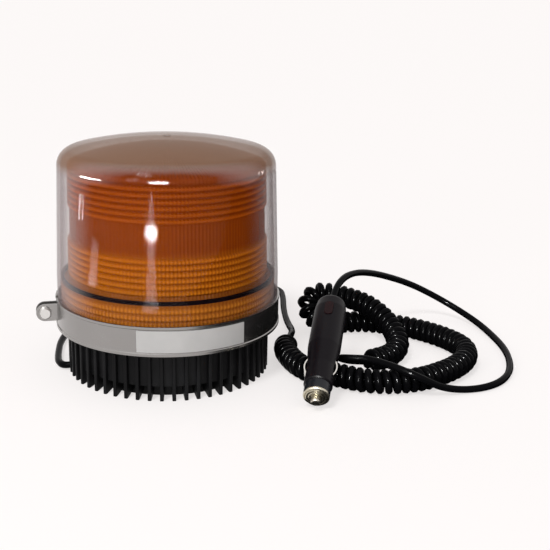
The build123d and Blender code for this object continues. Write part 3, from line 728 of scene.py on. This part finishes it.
class BEACON_OT_boot(bpy.types.Operator):
    """Finishes the finned rubber boot, the magnet and the parts they cover"""

    bl_idname = "beacon.boot"
    bl_label = "Finned boot"

    def execute(self, context):
        rubber = context.scene.beacon_lamp.rubber
        boot = Finish("boot_rubber", specular_ior_level=0.07)
        clouds = boot.noise(30.0, 4.0)
        pores = boot.noise(1200.0, 2.0)
        streaks = boot.noise(160.0, 3.0, 0.6, boot.stretched((1.0, 1.0, 0.12)))
        dust = boot.span(clouds * 0.6 + streaks * 0.6, 0.55, 0.85)
        boot.set("Base Color", boot.blend(dust, shaded(rubber), shaded(rubber, 2.6)))
        boot.set("Roughness", 0.42 + dust * 0.2 + (pores - 0.5) * 0.1)
        boot.bump(pores + streaks * 0.5, 0.00004)
        dress("finned_boot", boot)
        seal = moulded("seal_rubber", (0.015, 0.015, 0.015), 0.6)
        for node in ("flange_gasket", "cord_grommet"):
            dress(node, seal)
        dress("base_housing", moulded("housing_plastic", (0.03, 0.03, 0.033), 0.45))
        dress("holding_magnet", moulded("magnet_ferrite", (0.06, 0.06, 0.062), 0.55, 500.0, 0.00006))
        dress("magnet_plate", plated("plated_steel", (0.62, 0.62, 0.58), 0.35))
        return {"FINISHED"}


class BEACON_OT_insides(bpy.types.Operator):
    """Finishes the circuit board, its parts, the white deck and the flash tube"""

    bl_idname = "beacon.insides"
    bl_label = "Insides"

    def execute(self, context):
        dress("circuit_board", moulded("board_laminate", (0.03, 0.16, 0.06), 0.35, 400.0))
        dress("transformer", moulded("transformer_core", (0.14, 0.12, 0.10), 0.5, 300.0, 0.00005))
        dress("flash_capacitor", moulded("capacitor_sleeve", (0.03, 0.04, 0.12), 0.2))
        dress("trigger_coil", moulded("trigger_can", (0.45, 0.34, 0.12), 0.3))
        dress("deck_plate", moulded("deck_white", (0.80, 0.80, 0.78), 0.25))
        dress("tube_holder", moulded("holder_plastic", (0.85, 0.85, 0.82), 0.35))
        glass = Finish("tube_glass", roughness=0.08, ior=1.47, base_color=(0.9, 0.92, 0.95, 1))
        frost = glass.noise(120.0, 2.0)
        glass.set("Roughness", 0.05 + frost * 0.1)
        glass.thinned(0.45, (0.95, 0.97, 1.0, 1))
        dress("flash_tube", glass)
        return {"FINISHED"}


# ---------------------------------------------------------------- plug


class BEACON_PG_plug(bpy.types.PropertyGroup):
    """Colours of the lighter plug."""

    plastic: bpy.props.FloatVectorProperty(
        name="Plastic",
        description="Colour of the plug's shells and sleeve",
        subtype="COLOR",
        size=3,
        default=(0.0045, 0.0034, 0.0048),
    )
    contacts: bpy.props.FloatVectorProperty(
        name="Contacts",
        description="Colour of the plated side contacts",
        subtype="COLOR",
        size=3,
        default=(0.78, 0.76, 0.72),
    )


class BEACON_OT_plug(bpy.types.Operator):
    """Finishes the lighter plug with its ring cap, sprung pin, contacts and indicator"""

    bl_idname = "beacon.plug"
    bl_label = "Lighter plug"

    def execute(self, context):
        colours = context.scene.beacon_plug
        shell = moulded("plug_plastic", colours.plastic, 0.36, specular_ior_level=0.1)
        for node in ("plug_shell_left", "plug_shell_right", "plug_sleeve"):
            dress(node, shell)
        nickel = plated("plug_nickel", colours.contacts, 0.16, scale=900.0)
        for node in ("side_contact_left", "side_contact_right"):
            dress(node, nickel)

        # The ring cap is dark moulding but for its bare nose, which is turned in fine rings
        cap = Finish("plug_metal", specular_ior_level=0.25)
        ahead = Term(cap, cap.vector("DOT_PRODUCT", cap.place, PLUG_AXIS).outputs["Value"])
        face = ahead.below(PLUG_NOSE.dot(PLUG_AXIS) + BARE_NOSE)
        spoke = cap.vector("SUBTRACT", cap.place, PLUG_NOSE).outputs[0]
        arm = cap.vector("CROSS_PRODUCT", spoke, PLUG_AXIS).outputs[0]
        radius = Term(cap, cap.vector("LENGTH", arm).outputs["Value"])
        rings = (radius * (2 * math.pi / RING_PITCH)).sine() * 0.5 + 0.5
        wear = cap.noise(700.0, 3.0)
        metal = cap.blend(rings * 0.6 + wear * 0.5, (0.16, 0.13, 0.07, 1), (0.72, 0.68, 0.56, 1))
        cap.set("Base Color", cap.blend(face, (0.008, 0.009, 0.012, 1), metal))
        cap.set("Metallic", face)
        cap.set("Roughness", 0.3 + (wear - 0.5) * 0.2)
        cap.bump(rings * face + wear * 0.2, 0.0004)
        dress("plug_ring_cap", cap)

        dress("plug_tip_pin", plated("plug_brass", (0.50, 0.47, 0.40), 0.28))
        dress("fuse_spring", plated("spring_steel", (0.6, 0.6, 0.6), 0.25))
        fuse = Finish("fuse_glass", roughness=0.06, base_color=(0.85, 0.88, 0.88, 1))
        smear = fuse.noise(200.0, 2.0)
        fuse.set("Roughness", 0.04 + smear * 0.12)
        dress("plug_fuse", fuse)
        window = Finish("indicator_red", roughness=0.25, specular_ior_level=0.12)
        grain = window.noise(300.0, 2.0)
        reds = (0.007, 0.001, 0.002, 1), (0.013, 0.002, 0.003, 1)
        window.set("Base Color", window.blend(grain, *reds))
        dress("plug_indicator", window)
        return {"FINISHED"}


# ---------------------------------------------------------------- stage


def aimed(light, direction):
    """Turns a lamp so that it shines along a direction."""
    light.rotation_euler = Vector(direction).to_track_quat("-Z", "Y").to_euler()


def key_lamp():
    """The main light, from above and behind the camera's left shoulder."""
    lamp = bpy.data.lights.new("key", "SUN")
    lamp.energy = KEY_POWER
    lamp.angle = KEY_WIDTH
    light = bpy.data.objects.new("key", lamp)
    aimed(light, KEY_AIM)
    bpy.context.scene.collection.objects.link(light)


def soft_lamp(name, place, aim, size, power):
    """A flat rectangular lamp at a place, aimed at a point."""
    lamp = bpy.data.lights.new(name, "AREA")
    lamp.shape = "RECTANGLE"
    lamp.size, lamp.size_y = size
    lamp.energy = power
    light = bpy.data.objects.new(name, lamp)
    light.location = place
    aimed(light, Vector(aim) - Vector(place))
    light.visible_camera = False
    bpy.context.scene.collection.objects.link(light)
    return light


def glint_lamp(name, place, aim, size, power, shown_on):
    """A lamp that only shows as a highlight, on every piece or on one."""
    light = soft_lamp(name, place, aim, size, power)
    light.visible_diffuse = False
    if shown_on:
        pieces = bpy.data.collections.new(f"lit_by_{name}")
        pieces.objects.link(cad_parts.get(shown_on) or bpy.data.objects[shown_on])
        light.light_linking.receiver_collection = pieces


def background_rays(tree):
    """A socket that is 1 on the rays that show the background."""
    path = tree.nodes.new("ShaderNodeLightPath")
    seen = path.outputs["Is Camera Ray"]
    for ray in ("Is Transmission Ray", "Is Glossy Ray"):
        either = tree.nodes.new("ShaderNodeMath")
        either.operation = "MAXIMUM"
        tree.links.new(seen, either.inputs[0])
        tree.links.new(path.outputs[ray], either.inputs[1])
        seen = either.outputs[0]
    return seen


def daylit_world():
    """Even daylight, which shows as white paper where the background is seen."""
    world = bpy.data.worlds.new("studio")
    world.use_nodes = True
    nodes, links = world.node_tree.nodes, world.node_tree.links
    nodes.clear()
    plain = nodes.new("ShaderNodeBackground")
    plain.inputs["Color"].default_value = DAYLIGHT
    plain.inputs["Strength"].default_value = DAYLIGHT_POWER
    shown = nodes.new("ShaderNodeBackground")
    shown.inputs["Color"].default_value = PAPER
    mix = nodes.new("ShaderNodeMixShader")
    output = nodes.new("ShaderNodeOutputWorld")
    links.new(background_rays(world.node_tree), mix.inputs[0])
    links.new(plain.outputs[0], mix.inputs[1])
    links.new(shown.outputs[0], mix.inputs[2])
    links.new(mix.outputs[0], output.inputs[0])
    return world


def paper_floor():
    """A wide white floor, whose shadows are paler than they would be."""
    finish = Finish("floor_paper", roughness=0.9, base_color=PAPER, specular_ior_level=0.0)
    glow = finish.node("ShaderNodeEmission", None, {"Color": PAPER})
    share = Term(finish, background_rays(finish.tree)) * PAPER_GLOW
    finish.mixed(share, finish.surface.outputs[0], glow.outputs[0])
    mesh = bmesh.new()
    bmesh.ops.create_grid(mesh, x_segments=1, y_segments=1, size=FLOOR_HALF)
    new_object("floor", mesh, finish)


def dark_card():
    """A black card on the floor, right of the lamp, which only reflections show."""
    finish = Finish("card_black", roughness=0.9, base_color=CARD_BLACK, specular_ior_level=0.0)
    mesh = bmesh.new()
    bmesh.ops.create_grid(mesh, x_segments=1, y_segments=1, size=1.0)
    bmesh.ops.scale(mesh, vec=CARD_HALVES, verts=mesh.verts)
    bmesh.ops.translate(mesh, vec=CARD_PLACE, verts=mesh.verts)
    card = new_object("dark_card", mesh, finish)
    card.visible_camera = card.visible_transmission = False
    card.visible_diffuse = card.visible_shadow = False


def front_camera():
    """The camera in front of the beacon, turned right, tilted down and rolled a little."""
    camera = bpy.data.cameras.new("camera")
    camera.sensor_width = CAMERA_SENSOR
    camera.lens = CAMERA_LENS
    yaw, pitch, roll = CAMERA_TURNS
    level = Vector((math.cos(yaw), -math.sin(yaw), 0.0))
    ahead = Vector((math.sin(yaw), math.cos(yaw), 0.0))
    forward = ahead * math.cos(pitch) - Vector((0.0, 0.0, math.sin(pitch)))
    upward = level.cross(forward)
    right = level * math.cos(roll) + upward * math.sin(roll)
    over = upward * math.cos(roll) - level * math.sin(roll)
    turn = Matrix((right, over, -forward)).transposed().to_4x4()
    view = bpy.data.objects.new("camera", camera)
    view.matrix_world = Matrix.Translation(CAMERA_PLACE) @ turn
    bpy.context.scene.collection.objects.link(view)
    return view


class BEACON_OT_stage(bpy.types.Operator):
    """Sets the world, the floor, the lamps, the dark card and the camera"""

    bl_idname = "beacon.stage"
    bl_label = "Stage"

    def execute(self, context):
        scene = context.scene
        scene.view_settings.view_transform = "Standard"
        scene.world = daylit_world()
        paper_floor()
        key_lamp()
        soft_lamp("left_window", *LEFT_WINDOW)
        for name, values in GLINT_LAMPS.items():
            glint_lamp(name, *values)
        dark_card()
        scene.camera = front_camera()
        return {"FINISHED"}


class BEACON_PT_panel(bpy.types.Panel):
    """Lists the beacon's sizes, colours and operators"""

    bl_label = "Strobe beacon"
    bl_idname = "BEACON_PT_panel"
    bl_space_type = "VIEW_3D"
    bl_region_type = "UI"
    bl_category = "Beacon"

    def draw(self, context):
        for group, kind in GROUPS.items():
            for name in kind.__annotations__:
                self.layout.prop(getattr(context.scene, group), name)
        for operator in OPERATORS:
            self.layout.operator(operator.bl_idname)


GROUPS = {
    "beacon_cord": BEACON_PG_cord,
    "beacon_lamp": BEACON_PG_lamp,
    "beacon_plug": BEACON_PG_plug,
}
OPERATORS = (
    BEACON_OT_cord,
    BEACON_OT_lens,
    BEACON_OT_dome,
    BEACON_OT_clamp,
    BEACON_OT_boot,
    BEACON_OT_insides,
    BEACON_OT_plug,
    BEACON_OT_stage,
)


def register():
    """Makes the groups, operators and panel known to Blender."""
    for item in (*GROUPS.values(), *OPERATORS, BEACON_PT_panel):
        bpy.utils.register_class(item)
    for name, kind in GROUPS.items():
        setattr(bpy.types.Scene, name, bpy.props.PointerProperty(type=kind))


def unregister():
    """Takes them away again."""
    for name in GROUPS:
        delattr(bpy.types.Scene, name)
    for item in reversed((*GROUPS.values(), *OPERATORS, BEACON_PT_panel)):
        bpy.utils.unregister_class(item)


def main():
    """Builds the beacon and its stage."""
    register()
    for operator in OPERATORS:
        group, name = operator.bl_idname.split(".")
        getattr(getattr(bpy.ops, group), name)()


if __name__ == "__main__":
    main()
